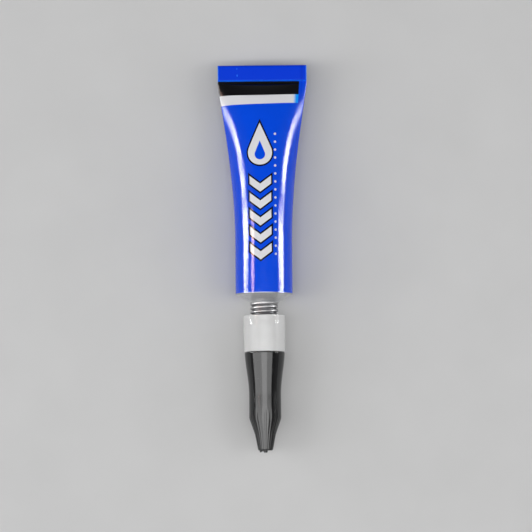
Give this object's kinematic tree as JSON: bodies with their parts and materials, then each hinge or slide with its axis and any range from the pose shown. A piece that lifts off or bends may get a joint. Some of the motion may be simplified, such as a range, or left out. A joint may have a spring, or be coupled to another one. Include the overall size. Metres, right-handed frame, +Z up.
{
  "type": "super glue tube",
  "caption": "Soft aluminium glue tube with a rolled flat tail, a screw-on nozzle whose spike pierces the neck, and a long push-on cap.",
  "frame": {"origin": "centre of the bounding box, on the surface that the tube lies on", "axes": "+Y along the tube from the cap to the tail, +Z up out of the print side, X across the flat tail"},
  "size_m": [0.021, 0.0916, 0.0135],
  "materials": {
    "blue_lacquer": "gloss",
    "bare_aluminium": "satin",
    "latex": "matte",
    "adhesive": "gloss",
    "natural_plastic": "satin",
    "black_plastic": "gloss"
  },
  "bodies": {
    "tube": {"tube_sleeve": "blue_lacquer", "tail_fold": "blue_lacquer", "tail_seal": "latex", "shoulder_neck": "bare_aluminium", "neck_membrane": "bare_aluminium", "adhesive_fill": "adhesive"},
    "nozzle": {"nozzle": "natural_plastic"},
    "cap": {"cap": "black_plastic"}
  },
  "joints": [
    {"name": "nozzle_screw", "type": "slide", "parent": "tube", "child": "nozzle", "axis": [0, -1, 0], "range_m": [-0.003, 0.012], "deforming": ["neck_membrane"]},
    {"name": "cap_pull", "type": "slide", "parent": "nozzle", "child": "cap", "axis": [0, -1, 0], "range_m": [0, 0.026]}
  ]
}
